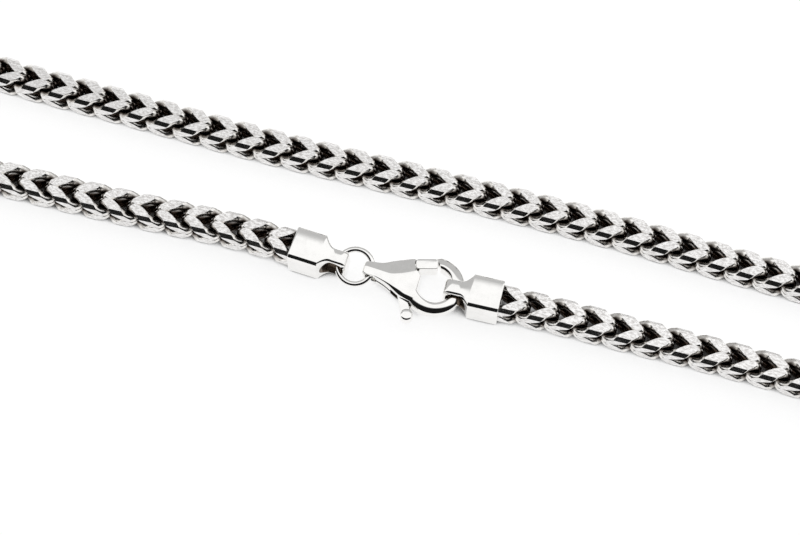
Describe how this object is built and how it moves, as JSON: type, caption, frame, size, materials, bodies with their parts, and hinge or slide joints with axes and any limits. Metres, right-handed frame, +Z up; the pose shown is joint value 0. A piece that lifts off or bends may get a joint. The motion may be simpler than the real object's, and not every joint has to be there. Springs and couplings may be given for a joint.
{
  "type": "franco chain necklace",
  "caption": "Square franco chain necklace of interlocked foxtail links, closed in a lying loop by square end caps, a jump ring and a lobster clasp.",
  "frame": {"origin": "centre of the lying loop's bounding box, on the surface that the chain rests on", "axes": "+Z up, +X along the loop's long axis, from the left end cap towards the right one; the clasp is on the -Y side"},
  "size_m": [0.2324, 0.0422, 0.005],
  "materials": {
    "chain_silver": "polished silver links, faces cut flat",
    "cast_silver": "polished cast silver"
  },
  "bodies": {
    "necklace": {"chain_left": "chain_silver", "chain_right": "chain_silver", "end_cap_left": "cast_silver", "end_cap_right": "cast_silver", "jump_ring": "cast_silver", "clasp_body": "cast_silver", "pivot_pin": "cast_silver"},
    "lever": {"clasp_lever": "cast_silver"}
  },
  "joints": [
    {"name": "lever_hinge", "type": "hinge", "parent": "necklace", "child": "lever", "pos_m": [0.00046, -0.0071, 0], "axis": [0, 0, 1], "range_deg": [-22, 0], "stiffness_Nm_per_rad": 0.0006, "springref_deg": 2.86}
  ]
}
